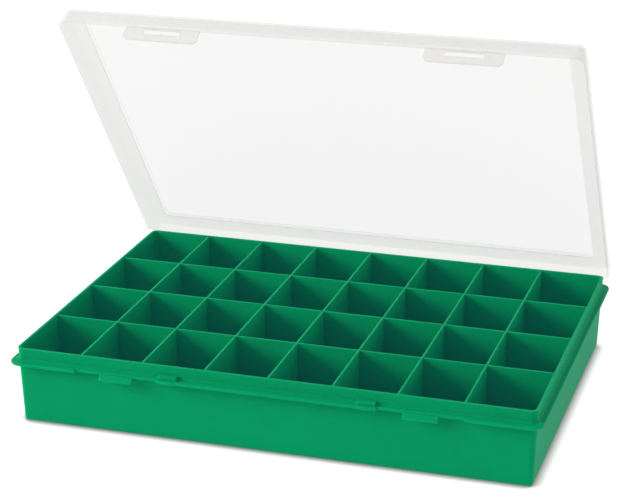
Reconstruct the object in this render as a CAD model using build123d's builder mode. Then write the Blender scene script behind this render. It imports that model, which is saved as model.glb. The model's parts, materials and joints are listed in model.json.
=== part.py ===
"""Compartment storage box: a divided tray with a hinged, latching lid.

Lengths are in millimetres. The origin is the centre of the tray's underside, +Z is up and the
front, with the two latches, faces -Y. The lid is modelled open, at lid_rest_angle above closed.
"""

import os
from math import atan, cos, degrees, radians, sin

from build123d import *

os.makedirs("parts", exist_ok=True)

# Tray body
rim_length = 304.8
rim_depth = 215.0
tray_height = 46.0
foot_inset = 2.0
wall_thickness = 1.5
floor_thickness = 1.6
tray_corner_radius = 4.0
foot_edge_radius = 1.8

# Compartments
columns = 8
rows = 4
divider_thickness = 1.1
divider_root_thickness = 1.5
divider_drop = 0.4
divider_bite = 0.6

# Ledge that the closed lid's skirt meets
ledge_drop = 7.2
ledge_overhang = 5.5
ledge_side_overhang = 3.6
ledge_thickness = 1.5
ledge_corner_radius = 7.5
ledge_lip_radius = 0.5
rim_root_radius = 1.6

# Pads on the front ledge, each with a small bulge of the ledge's edge before it
pad_offset = 58.0
pad_width = 10.5
pad_height = 2.0
pad_clearance = 0.6
pad_edge_radius = 0.7
bulge_reach = 0.9

# Lid
lid_rise = 4.5
lid_gap = 0.4
lid_side_inset = 0.3
lid_corner_radius = 6.0
panel_thickness = 1.5
skirt_thickness = 1.3
skirt_flare = 1.2
lid_edge_radius = 1.8
border_side = 11.4
border_front = 12.0
border_rear = 14.8
panel_step = 1.0
step_wall = 1.3
step_corner_radius = 3.0
lid_rest_angle = 53.0

# Latch tongues and the catch tabs that they snap over
latch_offset = 89.0
tongue_width = 45.0
tongue_drop = 9.2
tongue_corner = 2.0
slot_width = 22.6
catch_width = 19.6
catch_height = 3.1
catch_top_drop = 1.1
catch_proud = 0.4
catch_nose = 0.6
catch_shelf = 0.4
catch_clearance = 0.3
notch_side_clearance = 2.5
notch_back_clearance = 0.8

# Snap hinge
hinge_offset = 96.0
hinge_inset = 1.0
hinge_rise = 1.2
bar_radius = 1.3
running_clearance = 0.1
clip_wall = 1.1
clip_width = 13.0
clip_side_clearance = 0.5
clip_mouth_angle = 80.0
clip_mouth_direction = 225.0
lug_thickness = 2.0
lug_radius = 2.3
gusset_drop = 4.0
window_clearance = 0.4
rear_skirt_clearance = 0.5
relief_reach = 4.0
relief_slope = 5.0

# How far a cutting shape runs past what it cuts, and how closely an edge is looked for
cut_margin = 1.0
pick_margin = 0.1


def drafted(rim_size, height):
    """Half length, half depth or corner radius at a height, of a wall with this one at the rim."""
    return rim_size - foot_inset * (tray_height - height) / tray_height


# Tray places that follow from the sizes above
foot_length = rim_length - 2 * foot_inset
foot_depth = rim_depth - 2 * foot_inset
wall_draft = degrees(atan(foot_inset / tray_height))
ledge_top = tray_height - ledge_drop
ledge_bottom = ledge_top - ledge_thickness
ledge_length = rim_length + 2 * ledge_side_overhang
ledge_depth = rim_depth + 2 * ledge_overhang
ledge_front = -ledge_depth / 2
inner_length = rim_length - 2 * wall_thickness
inner_depth = rim_depth - 2 * wall_thickness
divider_top = tray_height - divider_drop
pad_top = ledge_top + pad_height
pad_front = ledge_front + skirt_thickness + pad_clearance
bulge_radius = pad_width**2 / (8 * bulge_reach) + bulge_reach / 2

# Grid that makes the compartments' floors equal
floor_length = 2 * drafted(inner_length / 2, floor_thickness)
floor_depth = 2 * drafted(inner_depth / 2, floor_thickness)
column_pitch = (floor_length + divider_root_thickness) / columns
row_pitch = (floor_depth + divider_root_thickness) / rows

# Hinge places
hinge_y = ledge_depth / 2 - hinge_inset
hinge_z = ledge_top + hinge_rise
clip_radius = bar_radius + running_clearance + clip_wall
window_width = clip_width + 2 * clip_side_clearance
window_front = hinge_y - clip_radius - window_clearance
rear_skirt_edge = lug_radius + rear_skirt_clearance

# Lid places, in the lid's own frame: along the axis, towards the rear, and up when closed
skirt_edge = ledge_top + lid_gap - hinge_z
lid_top = tray_height + lid_rise - hinge_z
skirt_height = lid_top - skirt_edge
skirt_draft = degrees(atan(skirt_flare / skirt_height))
lid_length = ledge_length - 2 * lid_side_inset
panel_length = lid_length - 2 * border_side
panel_depth = ledge_depth - border_front - border_rear
panel_shift = (border_front - border_rear) / 2
lid_open = radians(lid_rest_angle)
lid_up = (0, sin(lid_open), cos(lid_open))
lid_rearward = (0, cos(lid_open), -sin(lid_open))
lid_forward = (0, -cos(lid_open), sin(lid_open))
lid_plane = Plane(origin=(0, hinge_y, hinge_z), x_dir=(1, 0, 0), z_dir=lid_up)

# Latch places
catch_top = ledge_top - catch_top_drop
catch_bottom = catch_top - catch_height
notch_width = tongue_width + 2 * notch_side_clearance
notch_depth = skirt_thickness + notch_back_clearance
notch_back = ledge_front + notch_depth
slot_top = catch_top + catch_clearance - hinge_z
slot_bottom = catch_bottom - catch_clearance - hinge_z


def lid_side_plane(x):
    """Plane square to the hinge axis at x, with its axes towards the lid's rear and the lid's top."""
    return Plane(origin=(x, hinge_y, hinge_z), x_dir=lid_rearward, z_dir=(1, 0, 0))


# Tray, moulded in one piece with its dividers, catches and hinge bars
with BuildPart() as base_tray:
    # Drafted outer body with a rounded foot
    with BuildSketch():
        RectangleRounded(foot_length, foot_depth, drafted(tray_corner_radius, 0))
    extrude(amount=tray_height, taper=-wall_draft)
    fillet(base_tray.faces().sort_by(Axis.Z)[0].edges(), foot_edge_radius)

    # Ledge, with a notch for each tongue and a small bulge beside it
    with BuildSketch(Plane.XY.offset(ledge_bottom)):
        RectangleRounded(ledge_length, ledge_depth, ledge_corner_radius)
        bulge_y = ledge_front - bulge_reach + bulge_radius
        with Locations((-pad_offset, bulge_y), (pad_offset, bulge_y)):
            Circle(bulge_radius)
        with Locations((-latch_offset, ledge_front), (latch_offset, ledge_front)):
            Rectangle(notch_width, 2 * notch_depth, mode=Mode.SUBTRACT)
    extrude(amount=ledge_thickness)
    wall_front = drafted(rim_depth / 2, ledge_top)
    wall_side = drafted(rim_length / 2, ledge_top)
    lip = base_tray.edges().filter_by_position(Axis.Z, ledge_top, ledge_top)
    rim_root = lip.filter_by(
        lambda e: abs(e.center().Y) < wall_front + pick_margin
        and abs(e.center().X) < wall_side + pick_margin
    )
    fillet(rim_root, rim_root_radius)
    lip = base_tray.edges().filter_by_position(Axis.Z, ledge_top, ledge_top)
    outer_lip = lip.filter_by(
        lambda e: abs(e.center().Y) > wall_front + rim_root_radius + pick_margin
        or abs(e.center().X) > wall_side + rim_root_radius + pick_margin
    )
    fillet(outer_lip, ledge_lip_radius)

    # Pads that keep the closed lid's front skirt from being pressed in beside the tongues
    pad_back = wall_thickness / 2 - drafted(rim_depth / 2, pad_top)
    for x in (-pad_offset, pad_offset):
        with BuildSketch(Plane.YZ.offset(x - pad_width / 2)) as pad_profile:
            with Locations(((pad_front + pad_back) / 2, (ledge_bottom + pad_top) / 2)):
                Rectangle(pad_back - pad_front, pad_top - ledge_bottom)
            fillet(pad_profile.vertices().sort_by(Axis.Z)[-2:].sort_by(Axis.Y)[0], pad_edge_radius)
        extrude(amount=pad_width)

    # Cavity, with the same draft as the outer wall
    with BuildSketch(Plane.XY.offset(floor_thickness)):
        RectangleRounded(
            floor_length, floor_depth, drafted(tray_corner_radius - wall_thickness, floor_thickness)
        )
    extrude(amount=tray_height, taper=-wall_draft, mode=Mode.SUBTRACT)

    # Dividers across the short way, then along the long way, thicker at the floor
    divider_foot = floor_thickness / 2
    for i in range(1, columns):
        x = -(floor_length + divider_root_thickness) / 2 + i * column_pitch
        with BuildSketch(Plane.XY.offset(divider_foot)):
            with Locations((x, 0)):
                Rectangle(divider_root_thickness, 2 * drafted(inner_depth / 2, divider_foot) + divider_bite)
        with BuildSketch(Plane.XY.offset(divider_top)):
            with Locations((x, 0)):
                Rectangle(divider_thickness, 2 * drafted(inner_depth / 2, divider_top) + divider_bite)
        loft(ruled=True)
    for j in range(1, rows):
        y = -(floor_depth + divider_root_thickness) / 2 + j * row_pitch
        with BuildSketch(Plane.XY.offset(divider_foot)):
            with Locations((0, y)):
                Rectangle(2 * drafted(inner_length / 2, divider_foot) + divider_bite, divider_root_thickness)
        with BuildSketch(Plane.XY.offset(divider_top)):
            with Locations((0, y)):
                Rectangle(2 * drafted(inner_length / 2, divider_top) + divider_bite, divider_thickness)
        loft(ruled=True)

    # Catch tabs in the notches: a shelf and a ramp above, a shoulder below
    catch_root = wall_thickness / 2 - drafted(rim_depth / 2, catch_bottom)
    for x in (-latch_offset, latch_offset):
        with BuildSketch(Plane.YZ.offset(x - catch_width / 2)):
            with BuildLine():
                Polyline(
                    (catch_root, catch_bottom),
                    (ledge_front - catch_proud, catch_bottom),
                    (ledge_front - catch_proud, catch_bottom + catch_nose),
                    (notch_back - catch_shelf, catch_top),
                    (catch_root, catch_top),
                    close=True,
                )
            make_face()
        extrude(amount=catch_width)

    # Hinge stations: a window in the rear ledge, two lugs and a round bar between them
    gusset_root = drafted(rim_depth / 2, ledge_bottom) - wall_thickness / 2
    for x in (-hinge_offset, hinge_offset):
        with BuildSketch(Plane.XY.offset(ledge_bottom - cut_margin)):
            with Locations((x, (window_front + ledge_depth / 2 + cut_margin) / 2)):
                Rectangle(window_width, ledge_depth / 2 + cut_margin - window_front)
        extrude(amount=ledge_thickness + rim_root_radius + 2 * cut_margin, mode=Mode.SUBTRACT)
        for lug_x in (x - window_width / 2 - lug_thickness, x + window_width / 2):
            with BuildSketch(Plane.YZ.offset(lug_x)):
                with Locations((hinge_y, hinge_z)):
                    Circle(lug_radius)
                with BuildLine():
                    Polyline(
                        (gusset_root, ledge_bottom - gusset_drop),
                        (hinge_y + hinge_inset, ledge_bottom),
                        (hinge_y + hinge_inset, hinge_z),
                        (gusset_root, hinge_z),
                        close=True,
                    )
                make_face()
            extrude(amount=lug_thickness)
        with BuildSketch(Plane.YZ.offset(x - window_width / 2 - lug_thickness / 2)):
            with Locations((hinge_y, hinge_z)):
                Circle(bar_radius)
        extrude(amount=window_width + lug_thickness)


# Lid, with a shallow step in its panel, a flared skirt and two snap clips
with BuildPart() as lid:
    # Outer form
    with BuildSketch(lid_plane.offset(skirt_edge)):
        with Locations((0, -hinge_y)):
            RectangleRounded(lid_length, ledge_depth, lid_corner_radius)
    extrude(amount=skirt_height, taper=skirt_draft)
    fillet(lid.faces().filter_by(lid_plane).sort_by(Axis.Z)[-1].edges(), lid_edge_radius)

    # Hollow under the panel
    with BuildSketch(lid_plane.offset(skirt_edge)):
        with Locations((0, -hinge_y)):
            RectangleRounded(
                lid_length - 2 * skirt_thickness,
                ledge_depth - 2 * skirt_thickness,
                lid_corner_radius - skirt_thickness,
            )
    extrude(amount=skirt_height - panel_thickness, taper=skirt_draft, mode=Mode.SUBTRACT)

    # Step that sinks the middle of the panel towards the dividers
    with BuildSketch(lid_plane.offset(lid_top - panel_thickness - panel_step)):
        with Locations((0, -hinge_y + panel_shift)):
            RectangleRounded(panel_length, panel_depth, step_corner_radius)
    extrude(amount=panel_step)
    with BuildSketch(lid_plane.offset(lid_top - panel_step)):
        with Locations((0, -hinge_y + panel_shift)):
            RectangleRounded(
                panel_length - 2 * step_wall, panel_depth - 2 * step_wall, step_corner_radius - step_wall
            )
    extrude(amount=2 * panel_step, mode=Mode.SUBTRACT)

    # Rear edge cut short, so that it clears the lugs as the lid turns
    with BuildSketch(lid_side_plane(-ledge_length / 2 - cut_margin)):
        with BuildLine():
            Polyline(
                (-relief_reach - relief_slope, skirt_edge - cut_margin),
                (-relief_reach - relief_slope, skirt_edge),
                (-relief_reach, rear_skirt_edge),
                (hinge_inset + cut_margin, rear_skirt_edge),
                (hinge_inset + cut_margin, skirt_edge - cut_margin),
                close=True,
            )
        make_face()
    extrude(amount=ledge_length + 2 * cut_margin, mode=Mode.SUBTRACT)

    # Clips that snap round the hinge bars
    arm_rear = hinge_inset - skirt_flare * (rear_skirt_edge - skirt_edge) / skirt_height
    arm_top = rear_skirt_edge + skirt_thickness
    mouth_reach = 2 * clip_radius
    mouth_low = radians(clip_mouth_direction - clip_mouth_angle / 2)
    mouth_high = radians(clip_mouth_direction + clip_mouth_angle / 2)
    for x in (-hinge_offset, hinge_offset):
        with BuildSketch(lid_side_plane(x - clip_width / 2)):
            Circle(clip_radius)
            with Locations((arm_rear - skirt_thickness / 2, arm_top / 2)):
                Rectangle(skirt_thickness, arm_top)
            Circle(bar_radius + running_clearance, mode=Mode.SUBTRACT)
            with BuildLine():
                Polyline(
                    (0, 0),
                    (mouth_reach * cos(mouth_low), mouth_reach * sin(mouth_low)),
                    (mouth_reach * cos(mouth_high), mouth_reach * sin(mouth_high)),
                    close=True,
                )
            make_face(mode=Mode.SUBTRACT)
        extrude(amount=clip_width)


def latch_tongue(x):
    """Slotted tongue that hangs from the front skirt at x."""
    outer_face = lid_plane.from_local_coords((x, ledge_front - hinge_y, 0))
    half = tongue_width / 2
    foot = skirt_edge - tongue_drop
    with BuildPart() as tongue:
        with BuildSketch(Plane(origin=outer_face, x_dir=(1, 0, 0), z_dir=lid_forward)):
            with BuildLine():
                Polyline(
                    (-half, skirt_edge),
                    (-half, foot + tongue_corner),
                    (-half + tongue_corner, foot),
                    (half - tongue_corner, foot),
                    (half, foot + tongue_corner),
                    (half, skirt_edge),
                    close=True,
                )
            make_face()
            with Locations((0, (slot_top + slot_bottom) / 2)):
                Rectangle(slot_width, slot_top - slot_bottom, mode=Mode.SUBTRACT)
        extrude(amount=-skirt_thickness)
    return tongue


latch_tongue_left = latch_tongue(-latch_offset)
latch_tongue_right = latch_tongue(latch_offset)

base_tray.part.label = "base_tray"
export_step(base_tray.part, "parts/base_tray.step")

lid.part.label = "lid"
export_step(lid.part, "parts/lid.step")

latch_tongue_left.part.label = "latch_tongue_left"
export_step(latch_tongue_left.part, "parts/latch_tongue_left.step")

latch_tongue_right.part.label = "latch_tongue_right"
export_step(latch_tongue_right.part, "parts/latch_tongue_right.step")
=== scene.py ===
"""Finish, stage and camera for the compartment storage box.

Lengths are in metres. The box stands on z = 0 with its two latches towards -Y, and its lid
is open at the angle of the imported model.
"""

import json

from math import cos, radians, sin

import bpy
from bpy.props import FloatProperty, FloatVectorProperty, PointerProperty
from bpy.types import Operator, Panel, PropertyGroup
from mathutils import Euler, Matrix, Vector

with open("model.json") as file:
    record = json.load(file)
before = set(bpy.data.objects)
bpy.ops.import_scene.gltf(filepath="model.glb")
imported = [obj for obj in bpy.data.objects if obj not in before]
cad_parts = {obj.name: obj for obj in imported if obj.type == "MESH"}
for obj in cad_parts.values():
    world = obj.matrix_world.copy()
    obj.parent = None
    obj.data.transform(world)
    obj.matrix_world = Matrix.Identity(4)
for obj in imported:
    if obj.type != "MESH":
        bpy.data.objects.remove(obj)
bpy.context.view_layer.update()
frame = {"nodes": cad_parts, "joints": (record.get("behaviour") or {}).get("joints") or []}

bl_info = {
    "name": "Compartment Storage Box",
    "version": (1, 0, 0),
    "blender": (4, 5, 0),
    "location": "3D View > Sidebar > Storage Box",
    "description": "Finishes and stages a divided tray with a hinged translucent lid",
    "category": "Object",
}

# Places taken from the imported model
LID_HINGE = next(joint for joint in frame["joints"] if joint["name"] == "lid_hinge")
HINGE_POINT = Vector(LID_HINGE["pos_m"])
LID_OPEN = radians(-LID_HINGE["range_deg"][0])

# Middle of the lid's panel, inside its border, in the lid's own frame from the hinge, and how far
# to each side of its outline the plastic turns denser
PANEL_HALF_LENGTH = 0.1443
PANEL_FRONT = -0.2130
PANEL_REAR = -0.0138
BORDER_BLEND = 0.0002

# Cloudy mottle of the plastics, and how much it sways the shade and the satin
TRAY_MOTTLE_SCALE = 38.0
LID_MOTTLE_SCALE = 22.0
MOTTLE_DETAIL = 3.0
TRAY_SHADE_SWAY = 0.07
TRAY_SATIN_SWAY = 0.05
LID_SATIN_SWAY = 0.06

# Fine grain that the mould leaves on the tray
GRAIN_SCALE = 900.0
GRAIN_DETAIL = 2.0
GRAIN_STRENGTH = 0.06
GRAIN_HEIGHT = 0.0002

# How both plastics bend light, and how far red, green and blue light travel inside the tray's,
# as shares of the soak depth
PLASTIC_IOR = 1.49
SOAK_BY_COLOUR = (0.3, 1.0, 0.8)

# Rays that soften the tray's edges and find how close the floor is to a piece
EDGE_SAMPLES = 6
CONTACT_SAMPLES = 16

# Shares of open sky between which the floor's painted contact shadow goes from darkest to clear, and
# how dark it gets
CONTACT_SKY = (0.45, 0.9)
CONTACT_DARKEST = 0.25

# The stage: its floor, the places and sizes of its lamps, and the colour of its surroundings
FLOOR_SIZE = 8.0
LAMP_AIM = (0, 0, 0.04)
KEY_PLACE = (-2.37, -1.22, 1.2)
KEY_SIZE = 1.2
FILL_PLACE = (1.7, -0.5, 0.22)
FILL_SIZE = 0.4
WHITE = (1, 1, 1, 1)

# Width of the camera's sensor, in millimetres
SENSOR_WIDTH = 36.0


class TraySettings(PropertyGroup):
    """Colour and finish of the tray's green plastic"""

    colour: FloatVectorProperty(
        name="Colour", description="Green of the moulded tray", subtype="COLOR",
        default=(0.001, 0.305, 0.096), min=0.0, max=1.0,
    )
    # Painted light: a faint cool glow of the plastic itself that lifts the tray's shadows
    painted_glow: FloatVectorProperty(
        name="Painted glow", description="Faint cool light that the plastic's haze adds to its shadows",
        subtype="COLOR", default=(0.0015, 0.013, 0.028), min=0.0, max=1.0,
    )
    roughness: FloatProperty(
        name="Roughness", description="Satin of the moulded walls", subtype="FACTOR",
        default=0.45, min=0.0, max=1.0,
    )
    gloss: FloatProperty(
        name="Gloss", description="Strength of the reflections on the tray", subtype="FACTOR",
        default=0.03, min=0.0, max=1.0,
    )
    gloss_tint: FloatVectorProperty(
        name="Gloss tint", description="Colour of reflections seen face on", subtype="COLOR",
        default=(0.15, 1.0, 0.65), min=0.0, max=1.0,
    )
    translucency: FloatProperty(
        name="Translucency", description="Share of the light that soaks through the thin walls",
        subtype="FACTOR", default=0.6, min=0.0, max=1.0,
    )
    soak_depth: FloatProperty(
        name="Soak depth", description="How far green light travels inside the plastic",
        default=0.003, min=0.0, max=0.02, unit="LENGTH",
    )
    edge_softness: FloatProperty(
        name="Edge softness", description="Radius at which the moulded edges catch the light",
        default=0.0003, min=0.0, max=0.002, unit="LENGTH",
    )


class LidSettings(PropertyGroup):
    """Tint and density of the milky plastic of the lid and its latch tongues"""

    tint: FloatVectorProperty(
        name="Tint", description="Milky tint of the lid", subtype="COLOR",
        default=(0.75, 0.735, 0.70), min=0.0, max=1.0,
    )
    tongue_tint: FloatVectorProperty(
        name="Tongue tint", description="Milky tint of the two latch tongues", subtype="COLOR",
        default=(0.71, 0.69, 0.65), min=0.0, max=1.0,
    )
    tongue_opacity: FloatProperty(
        name="Tongue opacity", description="How much one surface of a latch tongue hides",
        subtype="FACTOR", default=0.28, min=0.0, max=1.0,
    )
    opacity: FloatProperty(
        name="Opacity", description="How much one surface of the panel's middle hides",
        subtype="FACTOR", default=0.075, min=0.0, max=1.0,
    )
    border_opacity: FloatProperty(
        name="Border opacity", description="How much one surface of the border and skirt hides",
        subtype="FACTOR", default=0.18, min=0.0, max=1.0,
    )
    roughness: FloatProperty(
        name="Roughness", description="Satin of the lid", subtype="FACTOR",
        default=0.35, min=0.0, max=1.0,
    )


class StageSettings(PropertyGroup):
    """Camera, floor and lights"""

    camera_azimuth: FloatProperty(
        name="Camera azimuth", description="Camera's turn to the right of the front",
        subtype="ANGLE", default=radians(17.387),
    )
    camera_elevation: FloatProperty(
        name="Camera elevation", description="Camera's height above the horizon",
        subtype="ANGLE", default=radians(19.940),
    )
    camera_roll: FloatProperty(
        name="Camera roll", description="Camera's tilt about its own line of sight",
        subtype="ANGLE", default=radians(-0.185),
    )
    camera_distance: FloatProperty(
        name="Camera distance", description="From the camera to the point it looks at",
        subtype="DISTANCE", default=1.1914, unit="LENGTH",
    )
    camera_aim: FloatVectorProperty(
        name="Camera aim", description="Point at the middle of the picture", subtype="TRANSLATION",
        default=(-0.0111, 0.0091, 0.0791), unit="LENGTH",
    )
    camera_lens: FloatProperty(
        name="Lens", description="Focal length of the camera", default=114.67, unit="CAMERA",
    )
    floor_colour: FloatProperty(
        name="Floor colour", description="Grey of the floor", subtype="FACTOR", default=0.44,
    )
    floor_glow: FloatProperty(
        name="Floor glow", description="Light from the floor itself, as from a light table",
        default=0.45,
    )
    floor_shown: FloatProperty(
        name="Floor shown", description="Glow of the floor as the camera sees it", subtype="FACTOR",
        default=0.88,
    )
    # Width of the painted contact shadow on the floor beside a piece
    contact_reach: FloatProperty(
        name="Contact reach", description="Width of the dark rim beside a piece that stands on it",
        default=0.008, unit="LENGTH",
    )
    surroundings: FloatProperty(
        name="Surroundings", description="Light that comes evenly from all round", default=0.55,
    )
    key_power: FloatProperty(
        name="Key lamp", description="Power of the lamp on the left", default=73.0,
    )
    fill_power: FloatProperty(
        name="Fill lamp", description="Power of the low lamp on the right", default=3.5,
    )


def add_node(tree, kind, inputs=None, **options):
    """Adds a shader node. An input is a value or another node's output, and options are its own."""
    made = tree.nodes.new(kind)
    for name, value in options.items():
        setattr(made, name, value)
    for key, value in (inputs or {}).items():
        if isinstance(value, bpy.types.NodeSocket):
            tree.links.new(value, made.inputs[key])
        else:
            made.inputs[key].default_value = value
    return made


def maths(tree, operation, first, second=0.0):
    """Result of one operation on numbers or other nodes' outputs."""
    return add_node(tree, "ShaderNodeMath", {0: first, 1: second}, operation=operation).outputs[0]


def ranged(tree, value, start, end, span=(0.0, 1.0)):
    """Goes evenly from start to end while a value crosses its span."""
    return add_node(tree, "ShaderNodeMapRange", {
        "Value": value, "From Min": span[0], "From Max": span[1], "To Min": start, "To Max": end,
    }).outputs[0]


def cloud(tree, where, scale, detail):
    """Soft random cloud of values between 0 and 1."""
    return add_node(
        tree, "ShaderNodeTexNoise", {"Vector": where, "Scale": scale, "Detail": detail},
    ).outputs["Fac"]


def empty_material(name):
    """A new material with only its output."""
    material = bpy.data.materials.new(name)
    material.use_nodes = True
    material.node_tree.nodes.clear()
    return material, material.node_tree, material.node_tree.nodes.new("ShaderNodeOutputMaterial")


def dress(piece, material):
    """Puts one material in every slot of a piece."""
    if not piece.material_slots:
        piece.data.materials.append(material)
    for place in piece.material_slots:
        place.material = material


def tray_plastic(settings):
    """Satin green plastic with the faint mottle and grain of a moulding, and a faint painted glow
    that lifts its shadows.
    """
    material, tree, output = empty_material("tray_plastic")
    where = add_node(tree, "ShaderNodeTexCoord").outputs["Object"]
    mottle = cloud(tree, where, TRAY_MOTTLE_SCALE, MOTTLE_DETAIL)
    shade = ranged(tree, mottle, 1 - TRAY_SHADE_SWAY, 1 + TRAY_SHADE_SWAY)
    colour = add_node(
        tree, "ShaderNodeVectorMath", {0: tuple(settings.colour), "Scale": shade}, operation="SCALE",
    )
    satin = ranged(
        tree, mottle, settings.roughness - TRAY_SATIN_SWAY, settings.roughness + TRAY_SATIN_SWAY,
    )
    edges = add_node(
        tree, "ShaderNodeBevel", {"Radius": settings.edge_softness}, samples=EDGE_SAMPLES,
    )
    bump = add_node(tree, "ShaderNodeBump", {
        "Strength": GRAIN_STRENGTH, "Distance": GRAIN_HEIGHT,
        "Height": cloud(tree, where, GRAIN_SCALE, GRAIN_DETAIL), "Normal": edges.outputs[0],
    })
    skin = add_node(tree, "ShaderNodeBsdfPrincipled", {
        "Base Color": colour.outputs[0], "Roughness": satin, "Normal": bump.outputs[0],
        "IOR": PLASTIC_IOR, "Specular IOR Level": settings.gloss,
        "Specular Tint": (*settings.gloss_tint, 1.0),
        "Subsurface Weight": settings.translucency, "Subsurface Radius": SOAK_BY_COLOUR,
        "Subsurface Scale": settings.soak_depth,
        # Painted light: the emission is a faint cool glow that lifts the tray's shadows
        "Emission Color": (*settings.painted_glow, 1.0), "Emission Strength": 1.0,
    })
    tree.links.new(skin.outputs[0], output.inputs["Surface"])
    return material


def border_share(tree):
    """1 on the lid's border and skirt and 0 on the middle of its panel."""
    where = add_node(tree, "ShaderNodeTexCoord").outputs["Object"]
    turn = Euler((LID_OPEN, 0.0, 0.0)).to_matrix()
    flat = add_node(tree, "ShaderNodeMapping", {
        "Vector": where, "Rotation": (LID_OPEN, 0.0, 0.0), "Location": -(turn @ HINGE_POINT),
    })
    along = add_node(tree, "ShaderNodeSeparateXYZ", {0: flat.outputs[0]}).outputs
    middle = (PANEL_FRONT + PANEL_REAR) / 2
    sideways = maths(tree, "ABSOLUTE", along["X"])
    lengthways = maths(tree, "ABSOLUTE", maths(tree, "SUBTRACT", along["Y"], middle))
    past_side = maths(tree, "SUBTRACT", sideways, PANEL_HALF_LENGTH)
    past_end = maths(tree, "SUBTRACT", lengthways, PANEL_REAR - middle)
    past_outline = maths(tree, "MAXIMUM", past_side, past_end)
    return ranged(tree, past_outline, 0.0, 1.0, span=(-BORDER_BLEND, BORDER_BLEND))


def milky_plastic(name, tint, roughness):
    """See-through milky plastic, and its skin, whose Alpha says how much one surface hides."""
    material, tree, output = empty_material(name)
    where = add_node(tree, "ShaderNodeTexCoord").outputs["Object"]
    mottle = cloud(tree, where, LID_MOTTLE_SCALE, MOTTLE_DETAIL)
    satin = ranged(tree, mottle, roughness - LID_SATIN_SWAY, roughness + LID_SATIN_SWAY)
    skin = add_node(tree, "ShaderNodeBsdfPrincipled", {
        "Base Color": (*tint, 1.0), "Roughness": satin, "IOR": PLASTIC_IOR,
    })
    tree.links.new(skin.outputs[0], output.inputs["Surface"])
    return material, skin


def lid_plastic(settings):
    """The lid's plastic, denser in the border and skirt than in the middle of the panel."""
    material, skin = milky_plastic("lid_plastic", settings.tint, settings.roughness)
    tree = material.node_tree
    hidden = ranged(tree, border_share(tree), settings.opacity, settings.border_opacity)
    tree.links.new(hidden, skin.inputs["Alpha"])
    return material


def tongue_plastic(settings):
    """The same plastic on the latch tongues, denser and a shade darker than the lid's."""
    material, skin = milky_plastic("tongue_plastic", settings.tongue_tint, settings.roughness)
    skin.inputs["Alpha"].default_value = settings.tongue_opacity
    return material


class BOX_OT_tray_finish(Operator):
    """Give the tray its green satin plastic"""

    bl_idname = "storage_box.tray_finish"
    bl_label = "Tray"

    def execute(self, context):
        dress(frame["nodes"]["base_tray"], tray_plastic(context.scene.storage_box_tray))
        return {"FINISHED"}


class BOX_OT_lid_finish(Operator):
    """Give the lid and its two latch tongues their milky plastic"""

    bl_idname = "storage_box.lid_finish"
    bl_label = "Lid and latch tongues"

    def execute(self, context):
        settings = context.scene.storage_box_lid
        dress(frame["nodes"]["lid"], lid_plastic(settings))
        tongue_finish = tongue_plastic(settings)
        for name in ("latch_tongue_left", "latch_tongue_right"):
            dress(frame["nodes"][name], tongue_finish)
        return {"FINISHED"}


def contact_shade(tree, sky, clear):
    """A painted contact shadow: clear under open sky and darker close to a piece."""
    return ranged(tree, sky, CONTACT_DARKEST * clear, clear, span=CONTACT_SKY)


def pale_floor(settings):
    """Glowing white floor with a painted contact shadow where a piece meets it, plain white behind
    the lid.
    """
    material, tree, output = empty_material("floor_white")
    ray = add_node(tree, "ShaderNodeLightPath").outputs
    sky = add_node(
        tree, "ShaderNodeAmbientOcclusion", {"Distance": settings.contact_reach},
        samples=CONTACT_SAMPLES,
    ).outputs["AO"]
    # Painted contact shadow: the floor's colour and glow darken where a piece stands close
    white = add_node(
        tree, "ShaderNodeBsdfDiffuse", {"Color": contact_shade(tree, sky, settings.floor_colour)},
    )
    shown = contact_shade(tree, sky, settings.floor_shown)
    glow = add_node(
        tree, "ShaderNodeEmission",
        {"Strength": ranged(tree, ray["Is Camera Ray"], settings.floor_glow, shown)},
    )
    lit = add_node(tree, "ShaderNodeAddShader", {0: white.outputs[0], 1: glow.outputs[0]})
    behind_lid = maths(tree, "MINIMUM", ray["Transparent Depth"], ray["Is Camera Ray"])
    plain = add_node(tree, "ShaderNodeEmission", {"Strength": 1.0})
    surface = add_node(
        tree, "ShaderNodeMixShader", {0: behind_lid, 1: lit.outputs[0], 2: plain.outputs[0]},
    )
    tree.links.new(surface.outputs[0], output.inputs["Surface"])
    return material


def soft_lamp(name, place, size, power):
    """A square soft lamp that faces the box."""
    lamp = bpy.data.lights.new(name, "AREA")
    lamp.shape = "SQUARE"
    lamp.size = size
    lamp.energy = power
    holder = bpy.data.objects.new(name, lamp)
    bpy.context.scene.collection.objects.link(holder)
    holder.location = place
    holder.rotation_euler = (Vector(LAMP_AIM) - Vector(place)).to_track_quat("-Z", "Y").to_euler()


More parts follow.
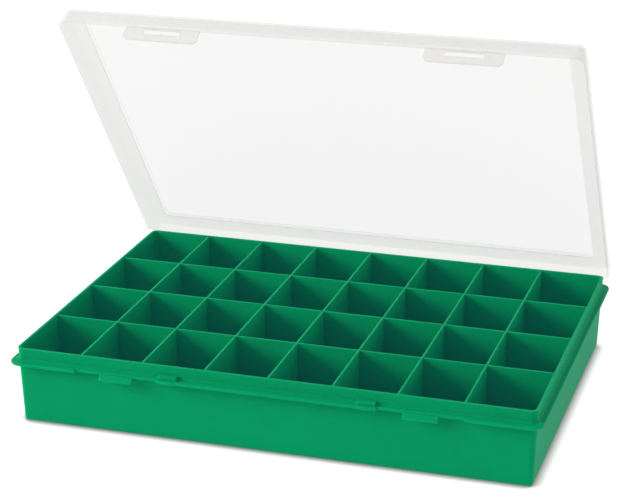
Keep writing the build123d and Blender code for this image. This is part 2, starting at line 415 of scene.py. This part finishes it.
class BOX_OT_stage(Operator):
    """Set the pale floor, the soft lamps, the white surroundings and the camera"""

    bl_idname = "storage_box.stage"
    bl_label = "Stage"

    def execute(self, context):
        settings = context.scene.storage_box_stage
        self.lay_floor(settings)
        self.light_world(settings)
        soft_lamp("key_lamp", KEY_PLACE, KEY_SIZE, settings.key_power)
        soft_lamp("fill_lamp", FILL_PLACE, FILL_SIZE, settings.fill_power)
        self.place_camera(settings)
        context.scene.view_settings.view_transform = "Standard"
        return {"FINISHED"}

    def lay_floor(self, settings):
        bpy.ops.object.select_all(action="DESELECT")
        bpy.ops.mesh.primitive_plane_add(size=FLOOR_SIZE, location=(0, 0, 0))
        floor = bpy.context.active_object
        floor.name = "floor"
        dress(floor, pale_floor(settings))

    def light_world(self, settings):
        world = bpy.data.worlds.new("studio_white")
        bpy.context.scene.world = world
        world.use_nodes = True
        tree = world.node_tree
        tree.nodes.clear()
        output = tree.nodes.new("ShaderNodeOutputWorld")
        ray = add_node(tree, "ShaderNodeLightPath").outputs
        mirrored = maths(tree, "MAXIMUM", ray["Is Glossy Ray"], ray["Is Transmission Ray"])
        seen = maths(tree, "MAXIMUM", ray["Is Camera Ray"], mirrored)
        dim, bright = (
            add_node(tree, "ShaderNodeBackground", {"Color": WHITE, "Strength": strength}).outputs[0]
            for strength in (settings.surroundings, 1.0)
        )
        mixed = add_node(tree, "ShaderNodeMixShader", {0: seen, 1: dim, 2: bright})
        tree.links.new(mixed.outputs[0], output.inputs["Surface"])

    def place_camera(self, settings):
        azimuth, elevation = settings.camera_azimuth, settings.camera_elevation
        back = Vector((sin(azimuth) * cos(elevation), -cos(azimuth) * cos(elevation), sin(elevation)))
        lens = bpy.data.cameras.new("camera")
        lens.sensor_fit = "HORIZONTAL"
        lens.sensor_width = SENSOR_WIDTH
        lens.lens = settings.camera_lens
        holder = bpy.data.objects.new("camera", lens)
        bpy.context.scene.collection.objects.link(holder)
        holder.location = Vector(settings.camera_aim) + settings.camera_distance * back
        level = (-back).to_track_quat("-Z", "Y")
        roll = Euler((0.0, 0.0, settings.camera_roll)).to_quaternion()
        holder.rotation_euler = (level @ roll).to_euler()
        bpy.context.scene.camera = holder


class BOX_PT_sidebar(Panel):
    """Sidebar panel of the storage box"""

    bl_idname = "BOX_PT_sidebar"
    bl_label = "Storage Box"
    bl_space_type = "VIEW_3D"
    bl_region_type = "UI"
    bl_category = "Storage Box"

    def draw(self, context):
        for settings, operator in (
            (context.scene.storage_box_tray, BOX_OT_tray_finish),
            (context.scene.storage_box_lid, BOX_OT_lid_finish),
            (context.scene.storage_box_stage, BOX_OT_stage),
        ):
            box = self.layout.box()
            for name in settings.bl_rna.properties.keys():
                if name not in ("rna_type", "name"):
                    box.prop(settings, name)
            box.operator(operator.bl_idname)


CLASSES = (
    TraySettings, LidSettings, StageSettings,
    BOX_OT_tray_finish, BOX_OT_lid_finish, BOX_OT_stage,
    BOX_PT_sidebar,
)


def register():
    for item in CLASSES:
        bpy.utils.register_class(item)
    bpy.types.Scene.storage_box_tray = PointerProperty(type=TraySettings)
    bpy.types.Scene.storage_box_lid = PointerProperty(type=LidSettings)
    bpy.types.Scene.storage_box_stage = PointerProperty(type=StageSettings)


def unregister():
    del bpy.types.Scene.storage_box_stage
    del bpy.types.Scene.storage_box_lid
    del bpy.types.Scene.storage_box_tray
    for item in reversed(CLASSES):
        bpy.utils.unregister_class(item)


def main():
    register()
    bpy.ops.storage_box.tray_finish()
    bpy.ops.storage_box.lid_finish()
    bpy.ops.storage_box.stage()


if __name__ == "__main__":
    main()
